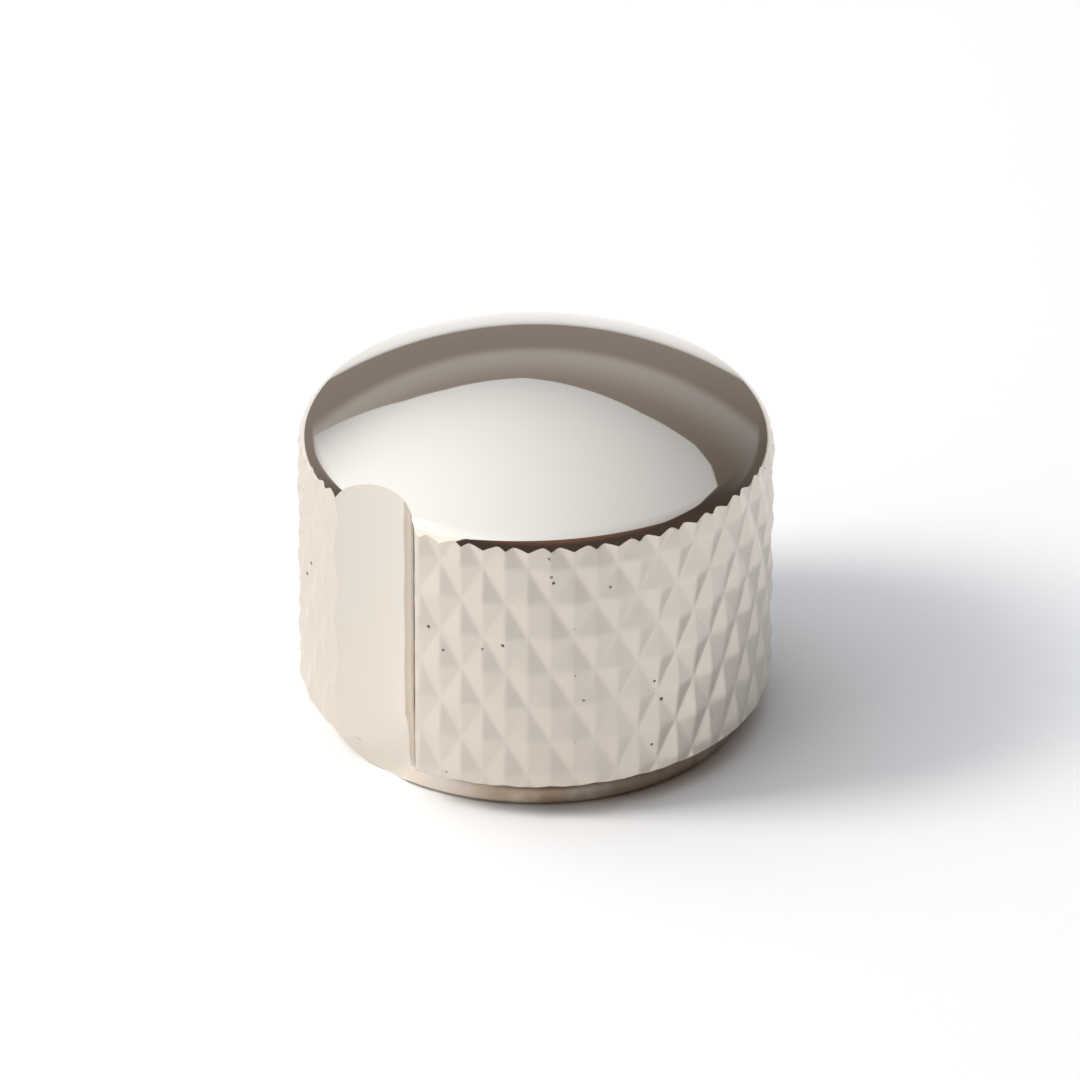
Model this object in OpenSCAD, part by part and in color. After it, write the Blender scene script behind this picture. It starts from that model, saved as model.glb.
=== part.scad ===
// Domed potentiometer knob: one turned metal body with a diamond-knurled grip, a scooped index groove down
// its front, a nut recess and a shaft bore in its underside, and a socket set screw in its back.
// The base stands on z = 0, the shaft's axis is Z, and the index groove faces -Y.

/* [Grip] */
// Diameter over the points of the knurl
grip_d = 19; // [18:0.5:24]
// Ridges of each hand around the grip
knurl_starts = 33; // [26:1:40]
// Depth of the knurl's grooves
knurl_depth = 0.2; // [0.1:0.05:0.4]
// Angle of the knurl's ridges to the knob's axis, in degrees
knurl_angle = 30; // [25:1:40]
// Height above the base of the lowest row of knurl points in line with the groove
knurl_lift = 0.3; // [0:0.05:1.5]
// Turn of the knurl against the index groove, in degrees
knurl_turn = -1.9; // [-5:0.1:5]
// Bevel at the foot of the grip
foot_bevel = 0.2; // [0.05:0.05:0.4]

/* [Dome] */
// Height of the knob from its base to the top of the dome
knob_h = 15; // [14:0.1:20]
// Radius of the polished dome
dome_r = 18.2; // [16:0.1:30]
// Radius of the round between the dome and the grip
edge_round = 1.3; // [0.8:0.1:2]

/* [Spigot] */
// Diameter of the plain spigot under the grip
spigot_d = 17.1; // [16:0.1:17.6]
// Height of the spigot
spigot_h = 1.35; // [0.8:0.05:2.5]
// Bevel around the spigot's lower edge
spigot_bevel = 0.2; // [0.05:0.05:0.4]
// Radius of the cove between the spigot and the shoulder under the grip
cove_r = 0.7; // [0.2:0.1:1]

/* [Index groove] */
// Depth of the groove below the knurl's points
groove_depth = 1.2; // [0.5:0.1:1.6]
// Radius of the round cutter that scoops the groove
groove_r = 3.2; // [2:0.1:5]

/* [Underside] */
// Diameter of the recess that clears the control's nut
recess_d = 13.5; // [11:0.1:14.4]
// Depth of the nut recess
recess_h = 4.5; // [3:0.1:5]
// Diameter of the bore for the control's shaft
bore_d = 6.4; // [5.9:0.05:6.6]
// Length of the bore above the nut recess
bore_l = 7.5; // [7:0.1:8]
// Bevel at the mouth of the bore
bore_bevel = 0.3; // [0.1:0.05:0.5]

/* [Set screw] */
// Outside diameter of the set screw's thread
screw_d = 3; // [2.5:0.5:4]
// Length of the set screw
screw_l = 5; // [4:0.5:5]
// Gap around the screw in its hole
screw_gap = 0.05; // [0.03:0.01:0.1]
// Gap from the shaft bore to the screw's backed-off point
point_gap = 0.2; // [0.1:0.05:0.5]
// Width of the screw's hexagon socket across its flats
socket_w = 1.5; // [1.2:0.1:1.6]
// Depth of the socket
socket_h = 1.6; // [1:0.1:2]
// Bevel at both ends of the screw
screw_bevel = 0.3; // [0.1:0.05:0.4]

/* [Hidden] */
$fn = 180;
// How far every cut and trimmed blank runs past the metal
overrun = 0.5;
grip_r = grip_d / 2;
foot_r = grip_r - foot_bevel;
spigot_r = spigot_d / 2;
// The cove as it fits: a share of the shoulder and of the spigot is always left beside it
cove_share = 0.95;
cove = min(cove_r, cove_share * (foot_r - spigot_r), cove_share * (spigot_h - spigot_bevel));
// Angle between the points of the cove's arc, in degrees
cove_step = 10;
bore_r = bore_d / 2;
// Centre of the dome's sphere, and of the round that touches the dome and the grip from inside
dome_centre_z = knob_h - dome_r;
edge_centre_r = grip_r - edge_round;
edge_centre_z = dome_centre_z + sqrt(pow(dome_r - edge_round, 2) - pow(edge_centre_r, 2));
// The round in straight steps, from the grip's wall up to the dome
edge_steps = 6;
edge_sweep = acos(edge_centre_r / (dome_r - edge_round));
function edge_point(k) =
    let (a = edge_sweep * k / edge_steps)
    [edge_centre_r + edge_round * cos(a), edge_centre_z + edge_round * sin(a)];
// The knurl's lattice: two columns to a ridge and two rows to a diamond
columns = 2 * knurl_starts;
column_turn = 360 / columns;
row_h = PI * grip_d / columns / tan(knurl_angle);
first_row_z = knurl_lift - row_h;
rows = ceil((knob_h + overrun - first_row_z) / row_h);
groove_axis = grip_r - groove_depth + groove_r;
// The screw enters at the back, half way up the bore
screw_z = recess_h + bore_l / 2;
screw_tip = bore_r + point_gap;
screw_hole_r = screw_d / 2 + screw_gap;

// A lattice vertex: points of the knurl and crossings of its grooves take turns
function lattice(i, j) =
    let (r = (i + j) % 2 == 1 ? grip_r : grip_r - knurl_depth,
         a = knurl_turn - 90 + i * column_turn)
    [r * cos(a), r * sin(a), first_row_z + j * row_h];

// Number of a lattice vertex in the list, closing the ring
function at(i, j) = j * columns + i % columns;

// The two faces of a lattice cell, parted along the groove that crosses it
function cell(i, j) = (i + j) % 2 == 1
    ? [[at(i, j), at(i, j + 1), at(i + 1, j)], [at(i + 1, j), at(i, j + 1), at(i + 1, j + 1)]]
    : [[at(i, j), at(i + 1, j + 1), at(i + 1, j)], [at(i, j), at(i, j + 1), at(i + 1, j + 1)]];

// A knurled bar that is longer than the knob, closed by fans at both ends
module knurled_bar() {
    wall = [for (j = [0 : rows]) for (i = [0 : columns - 1]) lattice(i, j)];
    ends = [for (j = [0, rows]) [0, 0, first_row_z + j * row_h]];
    foot = len(wall);
    head = foot + 1;
    faces = [
        for (j = [0 : rows - 1]) for (i = [0 : columns - 1]) each cell(i, j),
        for (i = [0 : columns - 1]) each [[foot, at(i, 0), at(i + 1, 0)], [head, at(i + 1, rows), at(i, rows)]]
    ];
    polyhedron(points = concat(wall, ends), faces = faces);
}

// The blank as turned: spigot, cove, foot bevel and the round at the edge, with the dome's sphere for its top
module turned_blank() {
    wall_r = grip_r + overrun;
    // The round's last step runs on past the dome as far as the axis
    under = edge_point(edge_steps - 1);
    rise = edge_point(edge_steps) - under;
    intersection() {
        rotate_extrude()
            polygon([
                [0, 0],
                [spigot_r - spigot_bevel, 0],
                [spigot_r, spigot_bevel],
                for (a = [0 : cove_step : 90])
                    [spigot_r + cove * (1 - cos(a)), spigot_h - cove * (1 - sin(a))],
                [foot_r, spigot_h],
                [wall_r, spigot_h + wall_r - foot_r],
                [wall_r, edge_centre_z],
                for (k = [0 : edge_steps - 1])
                    edge_point(k),
                [0, under.y - under.x * rise.y / rise.x]
            ]);
        translate([0, 0, dome_centre_z])
            sphere(dome_r);
    }
}

// The index groove runs the whole height, through the spigot too
module index_groove() {
    translate([0, -groove_axis, -overrun])
        cylinder(r = groove_r, h = knob_h + 2 * overrun);
}

// Nut recess, shaft bore and the bevel between them
module underside_cuts() {
    translate([0, 0, -overrun])
        cylinder(d = recess_d, h = recess_h + overrun);
    cylinder(d = bore_d, h = recess_h + bore_l);
    translate([0, 0, recess_h])
        cylinder(r1 = bore_r + bore_bevel, r2 = bore_r, h = bore_bevel);
}

// Lays a shape drawn along Z out along the screw's axis, towards the back of the knob
module along_screw(start) {
    translate([0, start, screw_z])
        rotate([-90, 0, 0])
            children();
}

module knob_body() {
    color("gainsboro")
        difference() {
            intersection() {
                turned_blank();
                knurled_bar();
            }
            index_groove();
            underside_cuts();
            along_screw(0)
                cylinder(r = screw_hole_r, h = grip_r + overrun);
        }
}

module set_screw() {
    screw_r = screw_d / 2;
    end_r = screw_r - screw_bevel;
    color("dimgray")
        along_screw(screw_tip)
            difference() {
                rotate_extrude()
                    polygon([
                        [0, 0],
                        [end_r, 0],
                        [screw_r, screw_bevel],
                        [screw_r, screw_l - screw_bevel],
                        [end_r, screw_l],
                        [0, screw_l]
                    ]);
                translate([0, 0, screw_l - socket_h])
                    cylinder(d = socket_w / cos(30), h = socket_h + overrun, $fn = 6);
            }
}

knob_body();
set_screw();
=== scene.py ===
import math

import bpy
import numpy as np
from mathutils import Matrix, Quaternion, Vector


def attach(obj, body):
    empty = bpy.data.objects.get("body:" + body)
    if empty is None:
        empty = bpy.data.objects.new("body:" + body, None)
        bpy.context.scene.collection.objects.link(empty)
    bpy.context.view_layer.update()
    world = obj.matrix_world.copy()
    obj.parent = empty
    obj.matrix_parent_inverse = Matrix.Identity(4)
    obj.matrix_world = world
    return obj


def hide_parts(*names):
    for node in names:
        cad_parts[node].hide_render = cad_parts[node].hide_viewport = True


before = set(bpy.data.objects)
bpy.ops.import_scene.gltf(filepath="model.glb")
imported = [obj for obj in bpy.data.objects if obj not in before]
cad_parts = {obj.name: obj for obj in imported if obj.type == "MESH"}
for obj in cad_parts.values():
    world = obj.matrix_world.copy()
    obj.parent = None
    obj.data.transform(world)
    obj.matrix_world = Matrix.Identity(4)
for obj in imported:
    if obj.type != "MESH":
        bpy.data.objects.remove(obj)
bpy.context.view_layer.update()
scene = bpy.context.scene
scene.view_settings.view_transform = "Standard"
print("frame loaded")


class Wire:
    # a node's output that can be reckoned with
    def __init__(self, tree, socket=None):
        self.tree = tree
        self.socket = socket

    def add(self, kind, settings=None, values=None, out=0):
        node = self.tree.nodes.new(kind)
        for key, value in (settings or {}).items():
            setattr(node, key, value)
        for key, value in (values or {}).items():
            if isinstance(value, Wire):
                self.tree.links.new(value.socket, node.inputs[key])
            else:
                node.inputs[key].default_value = value
        return Wire(self.tree, node.outputs[out] if node.outputs else None)

    def calc(self, operation, left, right):
        return self.add("ShaderNodeMath", {"operation": operation}, {0: left, 1: right})

    def __add__(self, other):
        return self.calc("ADD", self, other)

    def __radd__(self, other):
        return self.calc("ADD", other, self)

    def __sub__(self, other):
        return self.calc("SUBTRACT", self, other)

    def __rsub__(self, other):
        return self.calc("SUBTRACT", other, self)

    def __mul__(self, other):
        return self.calc("MULTIPLY", self, other)

    def __rmul__(self, other):
        return self.calc("MULTIPLY", other, self)

    def step(self, low, high):  # runs smoothly from 0 at low to 1 at high
        smooth = {"interpolation_type": "SMOOTHSTEP"}
        return self.add("ShaderNodeMapRange", smooth, {0: self, 1: low, 2: high})

    def mix(self, first, second):  # two colours, by this factor
        return self.add("ShaderNodeMix", {"data_type": "RGBA"}, {0: self, 6: first, 7: second}, 2)

    def along(self, direction):  # how far a vector runs that way
        return self.add("ShaderNodeVectorMath", {"operation": "DOT_PRODUCT"}, {0: self, 1: direction}, 1)


def newTree(owner):
    owner.use_nodes = True
    owner.node_tree.nodes.clear()
    return Wire(owner.node_tree)


def newObject(name, points, faces, materials=(), regions=None):
    mesh = bpy.data.meshes.new(name)
    mesh.from_pydata([tuple(p) for p in points], [], [tuple(f) for f in faces])
    for material in materials:
        mesh.materials.append(material)
    if regions is not None:
        mesh.polygons.foreach_set("material_index", np.array(regions, np.int32))
    made = bpy.data.objects.new(name, mesh)
    scene.collection.objects.link(made)
    return made


def circle(radius, steps):
    turns = [2 * math.pi * n / steps for n in range(steps)]
    return [(radius * math.cos(t), radius * math.sin(t)) for t in turns]


# the view: the camera stands to the right of the index groove, which faces -Y
viewpoint = {
    "azimuth": 43.4, "elevation": 30.48, "roll": 0.19,
    "distance": 0.4, "lens": 334.1,
    "centre": (0, 0, 0.006),
    "aside": 0.00018, "above": 0.00103,  # how far the camera aims past that centre
}
azimuth = math.radians(viewpoint["azimuth"])
elevation = math.radians(viewpoint["elevation"])
rightward = Vector((math.cos(azimuth), math.sin(azimuth), 0))
backward = Vector((-math.sin(azimuth), math.cos(azimuth), 0))  # level, away from the camera
upward = Vector((0, 0, 1))


def placed(right, back, up):
    return rightward * right + backward * back + upward * up


sight = placed(0, -math.cos(elevation), math.sin(elevation))
tilted = placed(0, math.sin(elevation), math.cos(elevation))
centre = Vector(viewpoint["centre"])
aim = centre + rightward * viewpoint["aside"] + tilted * viewpoint["above"]
camera = bpy.data.objects.new("camera", bpy.data.cameras.new("camera"))
camera.data.lens = viewpoint["lens"]
camera.location = centre + sight * viewpoint["distance"]
camera.rotation_mode = "QUATERNION"
level = (aim - camera.location).to_track_quat("-Z", "Y")
camera.rotation_quaternion = level @ Quaternion((0, 0, 1), math.radians(viewpoint["roll"]))
scene.collection.objects.link(camera)
scene.camera = camera
print("camera placed")

# nickel plate: one finish for each way that a face was worked, and painted shade on the spigot
perMm = 1000.0
plate = {
    "colour": (0.70, 0.64, 0.57, 1),
    "stain": (0.13, 0.11, 0.09, 1),
    "dust": (0.86, 0.85, 0.83, 1),
    # the colour of the painted shade on the spigot
    "shadeColour": (0.36, 0.28, 0.21, 1),
    "cloudScale": 0.5, "cloudDetail": 3.0,  # to a millimetre
    "raggedScale": 14, "raggedDetail": 2.0,
    "speckEdge": 0.3, "leastEdge": 0.001,  # share of a speck over which it fades
    "speckRough": 0.3,
    "wornSide": (0.001, 0.007),  # metres to the right of the axis
    # where the spigot's painted shade starts, to the right of the axis, and how the cloud breaks it up
    "shadePaintSide": (-0.004, -0.001),
    "shadePaintCloud": (0.2, 0.6),
}
# size and cell of the specks in millimetres, share of the cells that hold one
finishes = {
    "dome": {"rough": 0.035, "vary": 0.02, "speck": "dust", "size": 0.02, "cell": 2.2, "share": 0.55},
    "rim": {"rough": 0.05, "vary": 0.02, "speck": "dust", "size": 0.0, "cell": 2.2, "share": 0.0},
    "knurl": {"rough": 0.5, "vary": 0.03, "speck": "stain", "size": 0.1, "cell": 0.7, "share": 0.55,
              "worn": 0.17},
    "groove": {"rough": 0.1, "vary": 0.03, "speck": "stain", "size": 0.03, "cell": 1.5, "share": 0.3},
    # the spigot's lip gets painted shade at full strength
    "spigot": {"rough": 0.1, "vary": 0.03, "speck": "stain", "size": 0.04, "cell": 1.5, "share": 0.3,
               "shadePaint": 1.0},
    "turned": {"rough": 0.08, "vary": 0.03, "speck": "stain", "size": 0.03, "cell": 1.5, "share": 0.3},
}


def specks(tree, where, finish):
    # ragged spots of chance sizes, 1 inside and 0 between them
    ragged = tree.add("ShaderNodeTexNoise", None, {
        "Vector": where, "Scale": plate["raggedScale"] * perMm, "Detail": plate["raggedDetail"]}, "Color")
    moved = tree.add("ShaderNodeVectorMath", {"operation": "MULTIPLY_ADD"}, {
        0: ragged, 1: [finish["size"] / perMm] * 3, 2: where})
    spot = {"Vector": moved, "Scale": perMm / finish["cell"]}
    reach = tree.add("ShaderNodeTexVoronoi", None, spot, "Distance")
    chance = tree.add("ShaderNodeTexVoronoi", None, spot, "Color").along((1, 0, 0))
    size = chance.step(1 - finish["share"], 1.0) * (finish["size"] / finish["cell"])
    edge = plate["speckEdge"] * finish["size"] / finish["cell"] + plate["leastEdge"]
    return (size - reach).step(0.0, edge)


def nickel(name):
    finish = finishes[name]
    material = bpy.data.materials.new("nickel." + name)
    tree = newTree(material)
    where = tree.add("ShaderNodeTexCoord", None, None, "Object")
    cloud = tree.add("ShaderNodeTexNoise", None, {
        "Vector": where, "Scale": plate["cloudScale"] * perMm, "Detail": plate["cloudDetail"]}, "Fac")
    side = where.along(rightward)
    rough = (cloud - 0.5) * (2 * finish["vary"]) + finish["rough"]
    rough = rough - side.step(*plate["wornSide"]) * finish.get("worn", 0.0)  # rubbed smoother at one side
    mask = specks(tree, where, finish)
    # painted shade: the spigot darkens towards the right, away from the groove, broken up by the cloud
    shadePaint = cloud.step(*plate["shadePaintCloud"]) * side.step(*plate["shadePaintSide"])  # away from the groove only
    metal = (shadePaint * finish.get("shadePaint", 0.0)).mix(plate["colour"], plate["shadeColour"])
    shader = tree.add("ShaderNodeBsdfPrincipled", None, {
        "Base Color": mask.mix(metal, plate[finish["speck"]]),
        "Metallic": 1.0,
        "Roughness": rough + mask * plate["speckRough"]})
    tree.add("ShaderNodeOutputMaterial", None, {"Surface": shader})
    return material


nickels = [nickel(name) for name in finishes]
region = {name: number for number, name in enumerate(finishes)}
print("nickel mixed:", len(nickels), "finishes")

# the knob, in millimetres until it is whole
knob = {
    "gripR": 9.5, "starts": 33, "depth": 0.2, "angle": 30, "lift": 0.3, "turn": -1.9,
    "fine": 10,  # steps along each side of a cell of the knurl
    "valley": 0.06, "crest": 40,  # a larger valley eases the grooves, a smaller crest the ridges
    "height": 15.0, "domeR": 18.2, "edge": 1.3,
    "spigotR": 8.55, "spigotH": 1.35, "spigotBevel": 0.2, "cove": 0.7, "foot": 0.2,
    "recessR": 6.75, "recessH": 4.5,
    "boreR": 3.2, "boreTop": 12.0, "boreBevel": 0.3,
    "grooveR": 3.2, "grooveAxis": 11.5,
    "holeR": 1.55, "holeZ": 8.25,  # for the set screw
    "spare": 0.5,  # how far blanks and cutters run past the metal
    "turns": 360, "coveSteps": 12, "edgeSteps": 18, "domeSteps": 40, "grooveSteps": 240, "holeSteps": 96,
    "sharp": 30,
}


def knurledBar():
    columns = 2 * knob["starts"]
    rowH = 2 * math.pi * knob["gripR"] / columns / math.tan(math.radians(knob["angle"]))
    firstRow = knob["lift"] - rowH
    fine = knob["fine"]
    low = math.floor((-knob["spare"] - firstRow) / rowH)
    high = math.ceil((knob["height"] - firstRow) / rowH)
    across = np.arange(columns * fine)
    along = np.arange(low * fine, high * fine + 1)
    i, j = np.meshgrid(across / fine, along / fine)
    ways = [(i + j - 1) / 2, (i - j - 1) / 2]  # whole numbers at the points, halves in the grooves
    ridges = [np.hypot(1 - 2 * np.abs(way - np.round(way)), knob["valley"]) for way in ways]
    rise = -np.log(sum(np.exp(-knob["crest"] * ridge) for ridge in ridges)) / knob["crest"]
    radius = knob["gripR"] - knob["depth"] * (1 - np.minimum(rise, 1))
    reach = math.pi / columns  # half a column's angle: the facets are flat, not bent around the axis
    radius *= math.cos(reach) / np.cos((i % 1 - 0.5) * 2 * reach)
    turn = np.radians(knob["turn"] - 90 + i * 360 / columns)
    points = np.stack([radius * np.cos(turn), radius * np.sin(turn), firstRow + j * rowH], -1).reshape(-1, 3)
    ends = [[0, 0, firstRow + low * rowH], [0, 0, firstRow + high * rowH]]
    count = len(across)
    faces = []
    for s in range(len(along) - 1):
        for t in range(count):
            here = s * count + t
            after = s * count + (t + 1) % count
            hereUp, afterUp = here + count, after + count
            if (t // fine + int(along[s] // fine)) % 2:  # the seam lies along the groove
                faces += [(here, after, hereUp), (after, afterUp, hereUp)]
            else:
                faces += [(here, after, afterUp), (here, afterUp, hereUp)]
    top = (len(along) - 1) * count
    foot, head = len(points), len(points) + 1
    for t in range(count):
        after = (t + 1) % count
        faces += [(foot, after, t), (head, top + t, top + after)]
    return newObject("knob", np.vstack([points, ends]), faces, nickels, [region["knurl"]] * len(faces))


def turnedBody(outline, steps):
    # outline: radius, height and the region of the face that follows, from axis to axis
    points, faces, regions, rings = [], [], [], []
    for radius, height, _ in outline:
        first = len(points)
        if radius == 0:
            points.append((0, 0, height))
            rings.append([first] * steps)
            continue
        points += [(x, y, height) for x, y in circle(radius, steps)]
        rings.append(list(range(first, first + steps)))
    for below, above, spot in zip(rings, rings[1:], outline):
        for n in range(steps):
            m = (n + 1) % steps
            corners = [below[n], below[m], above[m], above[n]]
            faces.append(list(dict.fromkeys(corners)))  # three corners at the axis
            regions.append(region[spot[2]])
    return newObject("blank", points, faces, nickels, regions)


domeZ = knob["height"] - knob["domeR"]
# the round at the dome's edge touches the dome and the grip from inside
roundR = knob["gripR"] - knob["edge"]
domeTilt = math.asin(roundR / (knob["domeR"] - knob["edge"]))
roundZ = domeZ + (knob["domeR"] - knob["edge"]) * math.cos(domeTilt)


def bodyOutline():
    outer = knob["gripR"] + knob["spare"]
    footR = knob["gripR"] - knob["foot"]
    outline = [
        (0, knob["boreTop"], "turned"),
        (knob["boreR"], knob["boreTop"], "turned"),
        (knob["boreR"], knob["recessH"] + knob["boreBevel"], "turned"),
        (knob["boreR"] + knob["boreBevel"], knob["recessH"], "turned"),
        (knob["recessR"], knob["recessH"], "turned"),
        (knob["recessR"], 0, "turned"),
        (knob["spigotR"] - knob["spigotBevel"], 0, "spigot"),
        (knob["spigotR"], knob["spigotBevel"], "spigot")]
    for turn in np.linspace(0, math.pi / 2, knob["coveSteps"] + 1):
        radius = knob["spigotR"] + knob["cove"] * (1 - math.cos(turn))
        outline.append((radius, knob["spigotH"] - knob["cove"] * (1 - math.sin(turn)), "spigot"))
    outline += [
        (footR, knob["spigotH"], "spigot"),
        (outer, knob["spigotH"] + outer - footR, "rim"),
        (outer, roundZ, "rim")]
    for tilt in np.linspace(math.pi / 2, domeTilt, knob["edgeSteps"] + 1):
        radius = roundR + knob["edge"] * math.sin(tilt)
        outline.append((radius, roundZ + knob["edge"] * math.cos(tilt), "rim"))
    outline[-1] = (*outline[-1][:2], "dome")
    for tilt in np.linspace(domeTilt, 0, knob["domeSteps"] + 1)[1:]:
        radius = knob["domeR"] * math.sin(tilt) if tilt else 0
        outline.append((radius, domeZ + knob["domeR"] * math.cos(tilt), "dome"))
    return outline


def roundCutter(name, radius, length, steps, side, end):
    ring = circle(radius, steps)
    points = [(x, y, 0) for x, y in ring] + [(x, y, length) for x, y in ring]
    faces = [(n, (n + 1) % steps, steps + (n + 1) % steps, steps + n) for n in range(steps)]
    faces += [tuple(reversed(range(steps))), tuple(range(steps, 2 * steps))]
    return newObject(name, points, faces, nickels, [region[side]] * steps + [region[end]] * 2)


def combine(base, tool, operation):
    step = base.modifiers.new(operation, "BOOLEAN")
    step.operation = operation
    step.solver = "MANIFOLD"
    step.object = tool
    bpy.context.view_layer.update()
    made = bpy.data.meshes.new_from_object(base.evaluated_get(bpy.context.evaluated_depsgraph_get()))
    base.modifiers.clear()
    base.data = made
    bpy.data.objects.remove(tool)


body = knurledBar()
combine(body, turnedBody(bodyOutline(), knob["turns"]), "INTERSECT")
grooveL = knob["height"] + 2 * knob["spare"]
groove = roundCutter("grooveCutter", knob["grooveR"], grooveL, knob["grooveSteps"], "groove", "turned")
groove.location = (0, -knob["grooveAxis"], -knob["spare"])
combine(body, groove, "DIFFERENCE")
holeL = knob["gripR"] + knob["spare"]
hole = roundCutter("holeCutter", knob["holeR"], holeL, knob["holeSteps"], "turned", "turned")
hole.rotation_euler = (-math.pi / 2, 0, 0)  # from the axis out to the back
hole.location = (0, 0, knob["holeZ"])
combine(body, hole, "DIFFERENCE")
print("knob cut:", len(body.data.vertices), "points", len(body.data.polygons), "faces")


def readAll(items, key, kind, width=1):
    values = np.empty(len(items) * width, kind)
    items.foreach_get(key, values)
    return values


def trueNormals(mesh):
    # smooth faces take the normals of the dome, rim and groove that they lie on
    mesh.shade_smooth()
    mesh.set_sharp_from_angle(angle=math.radians(knob["sharp"]))
    normals = readAll(mesh.corner_normals, "vector", np.float32, 3).reshape(-1, 3)
    corners = readAll(mesh.loops, "vertex_index", np.int32)
    spots = readAll(mesh.vertices, "co", np.float32, 3).reshape(-1, 3)[corners].astype(float)
    sizes = readAll(mesh.polygons, "loop_total", np.int32)
    kinds = np.repeat(readAll(mesh.polygons, "material_index", np.int32), sizes)
    reach = np.hypot(spots[:, 0], spots[:, 1])
    out = spots[:, :2] / np.maximum(reach, 1e-6)[:, None]  # never divides by 0 on the axis
    onDome = kinds == region["dome"]
    normals[onDome] = (spots[onDome] - [0, 0, domeZ]) / knob["domeR"]
    onRim = kinds == region["rim"]
    tilt = np.clip(np.arctan2(reach - roundR, spots[:, 2] - roundZ), domeTilt, math.pi / 2)
    normals[onRim] = np.column_stack([out * np.sin(tilt)[:, None], np.cos(tilt)])[onRim]
    inGroove = kinds == region["groove"]
    inward = np.column_stack([-spots[:, 0], -knob["grooveAxis"] - spots[:, 1], np.zeros(len(spots))])
    normals[inGroove] = inward[inGroove] / knob["grooveR"]
    mesh.normals_split_custom_set(normals.tolist())


trueNormals(body.data)
body.data.transform(Matrix.Scale(1 / perMm, 4))
body.name = "knob"
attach(body, "root")
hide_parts("knob_body")

# set screw: the solid's own node in dark steel
steel = {
    "colour": (0.055, 0.052, 0.05, 1), "worn": (0.16, 0.15, 0.145, 1),
    "rough": 0.38, "vary": 0.2,
    "cloudScale": 1.4, "cloudDetail": 4.0, "wornCloud": (0.5, 0.8),
}


def screwSteel():
    material = bpy.data.materials.new("screwSteel")
    tree = newTree(material)
    where = tree.add("ShaderNodeTexCoord", None, None, "Object")
    cloud = tree.add("ShaderNodeTexNoise", None, {
        "Vector": where, "Scale": steel["cloudScale"] * perMm, "Detail": steel["cloudDetail"]}, "Fac")
    shader = tree.add("ShaderNodeBsdfPrincipled", None, {
        "Base Color": cloud.step(*steel["wornCloud"]).mix(steel["colour"], steel["worn"]),
        "Metallic": 1.0,
        "Roughness": cloud * steel["vary"] + steel["rough"]})
    tree.add("ShaderNodeOutputMaterial", None, {"Surface": shader})
    return material


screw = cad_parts["set_screw"]
screw.data.materials.clear()
screw.data.materials.append(screwSteel())
print("pieces dressed")

# floor: pale and plain, just under the knob
floor = {"radius": 0.9, "height": -1e-5, "colour": (0.9, 0.9, 0.9, 1), "steps": 96}


def paleFloor():
    material = bpy.data.materials.new("floor")
    tree = newTree(material)
    shader = tree.add("ShaderNodeBsdfDiffuse", None, {"Color": floor["colour"]})
    tree.add("ShaderNodeOutputMaterial", None, {"Surface": shader})
    return material


ring = [(x, y, floor["height"]) for x, y in circle(floor["radius"], floor["steps"])]
newObject("floor", ring, [range(floor["steps"])], [paleFloor()])
print("floor laid")


def panel(name, corners, colour, bright, fades):
    # a softbox: flat, and darker by each fade's drop from low to high along its direction
    points = [placed(*corner) for corner in corners]
    material = bpy.data.materials.new(name)
    tree = newTree(material)
    where = tree.add("ShaderNodeNewGeometry", None, None, "Position")
    black = (0, 0, 0, 1)
    for direction, low, high, drop in fades:
        colour = (where.along(direction).step(low, high) * drop).mix(colour, black)
    glow = tree.add("ShaderNodeEmission", None, {"Color": colour, "Strength": bright})
    tree.add("ShaderNodeOutputMaterial", None, {"Surface": glow})
    made = newObject(name, points, [range(len(points))], [material])
    made.visible_camera = False


# above the knob: shape and fades, to the right and back, in shares of the height over the floor
above = {
    "height": 0.36, "colour": (0.95, 1.0, 1.06, 1), "bright": 1.55,
    "right": (-0.8, 1.15, 0.64), "back": (0.2, 2.5, 0.65),
    "shape": [(-2.05, 2.15), (-1.4, 2.2), (-0.6, 1.51), (-0.4, 1.44), (-0.05, 1.44), (0.08, 1.35),
              (0.43, 1.07), (0.68, 0.95), (0.76, 0.82), (0.79, 0.66), (0.85, 0.53), (0.94, 0.37),
              (1.03, 0.25), (1.06, 0.14), (0.98, -0.26), (0.3, -0.5), (-0.57, -0.8), (-1.2, -1.0),
              (-2.05, 0.2)],
}


def overKnob(name, light):
    height = light["height"]
    corners = [(x * height, y * height, height) for x, y in light["shape"]]
    fades = []
    for direction, (low, high, drop) in ((rightward, light["right"]), (backward, light["back"])):
        fades.append((direction, low * height, high * height, drop))
    panel(name, corners, light["colour"], light["bright"], fades)


overKnob("softboxAbove", above)

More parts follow.
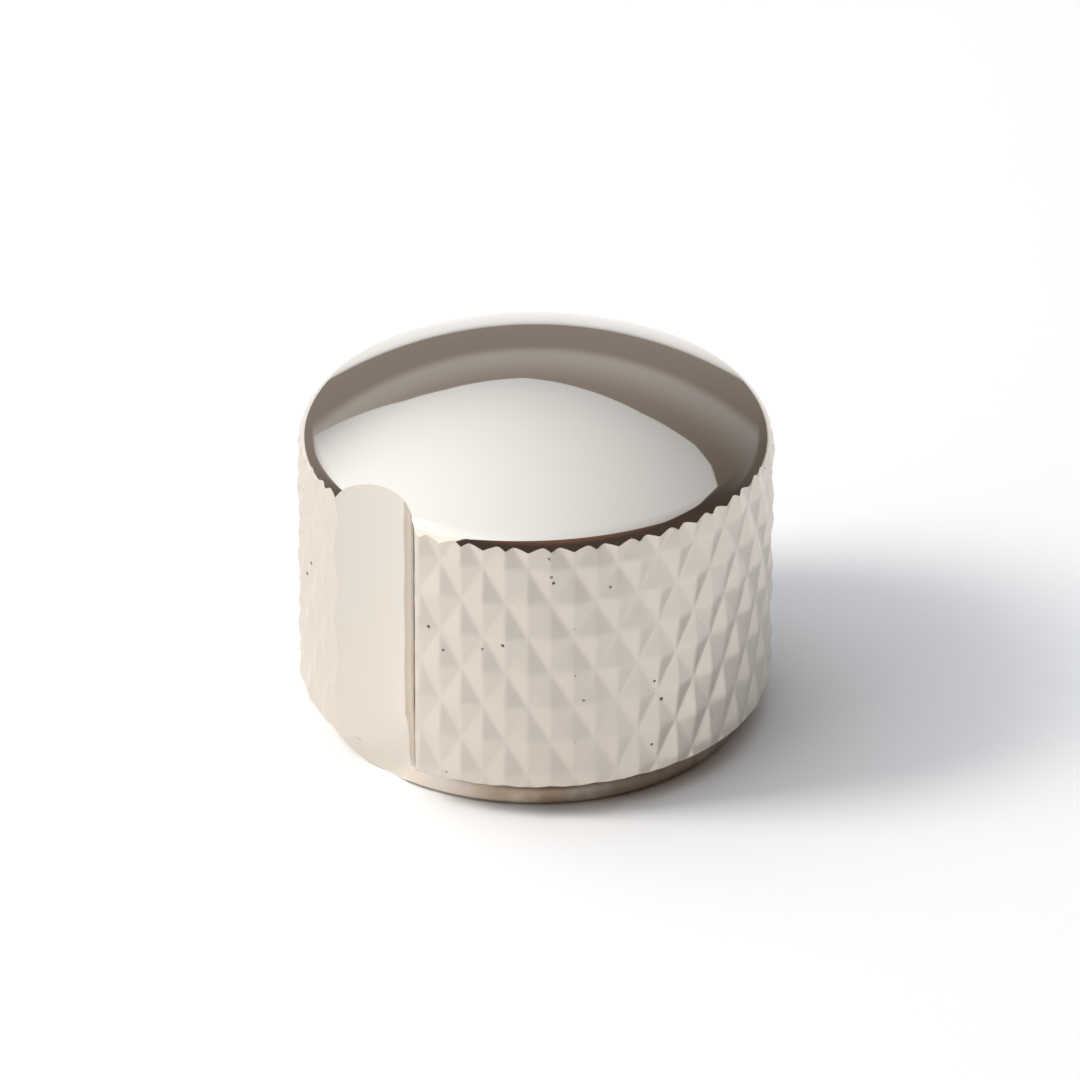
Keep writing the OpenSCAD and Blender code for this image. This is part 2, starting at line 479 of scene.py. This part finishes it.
# at the left a card, and a lamp nearer by: their corners are directions in degrees,
# turned from the camera's side and raised from the floor
left = {"angle": 72, "rise": 28, "colour": (1.0, 0.97, 0.93, 1)}
card = {"away": 0.6, "bright": 1.5, "corners": [(-40, 4), (-38, 45), (-46, 60), (-98, 62), (-98, 5)]}
lamp = {
    "away": 0.3, "bright": 26.0, "corners": [(-72, 34), (-72, 61), (-99, 61), (-99, 34)],
    "right": (-0.23, -0.175, 0.92), "back": (-0.01, 0.035, 0.92),
}


def pointing(turn, rise):
    turn, rise = math.radians(turn), math.radians(rise)
    return np.array([math.sin(turn) * math.cos(rise), -math.cos(turn) * math.cos(rise), math.sin(rise)])


def atLeft(name, light, fades):
    facing = pointing(-left["angle"], left["rise"])
    corners = [pointing(*c) * light["away"] / (pointing(*c) @ facing) for c in light["corners"]]
    panel(name, [tuple(c) for c in corners], left["colour"], light["bright"], fades)


atLeft("cardLeft", card, [])
atLeft("lampLeft", lamp, [(rightward, *lamp["right"]), (backward, *lamp["back"])])

# the room: dark, lighter behind the knob than behind the camera, with a pale wall low at the back
room = {
    "front": (0.085, 0.062, 0.052, 1), "glow": (0.26, 0.15, 0.10, 1),
    "back": (0.30, 0.265, 0.24, 1), "wall": (0.47, 0.45, 0.44, 1),
    "dim": 0.5,  # at the back's right
    "glowHeight": (0.6, 0.95), "backFrom": (-0.1, 0.75),
    "wallFoot": (0.26, 0.36), "wallTop": (0.36, 0.62), "wallFrom": (0.2, 0.8),
    "dimRight": (0.1, 0.75), "dimFrom": (-0.2, 0.3),
}
world = bpy.data.worlds.new("room")
scene.world = world
tree = newTree(world)
ray = tree.add("ShaderNodeTexCoord", None, None, "Generated")
height = ray.along(upward)
behind = ray.along(backward)
front = height.step(*room["glowHeight"]).mix(room["front"], room["glow"])
colour = behind.step(*room["backFrom"]).mix(front, room["back"])
wall = height.step(*room["wallFoot"]) * (1.0 - height.step(*room["wallTop"])) * behind.step(*room["wallFrom"])
dim = ray.along(rightward).step(*room["dimRight"]) * behind.step(*room["dimFrom"]) * room["dim"]
glow = tree.add("ShaderNodeBackground", None, {
    "Color": wall.mix(colour, room["wall"]), "Strength": 1.0 - dim})
tree.add("ShaderNodeOutputWorld", None, {"Surface": glow})
print("light set")
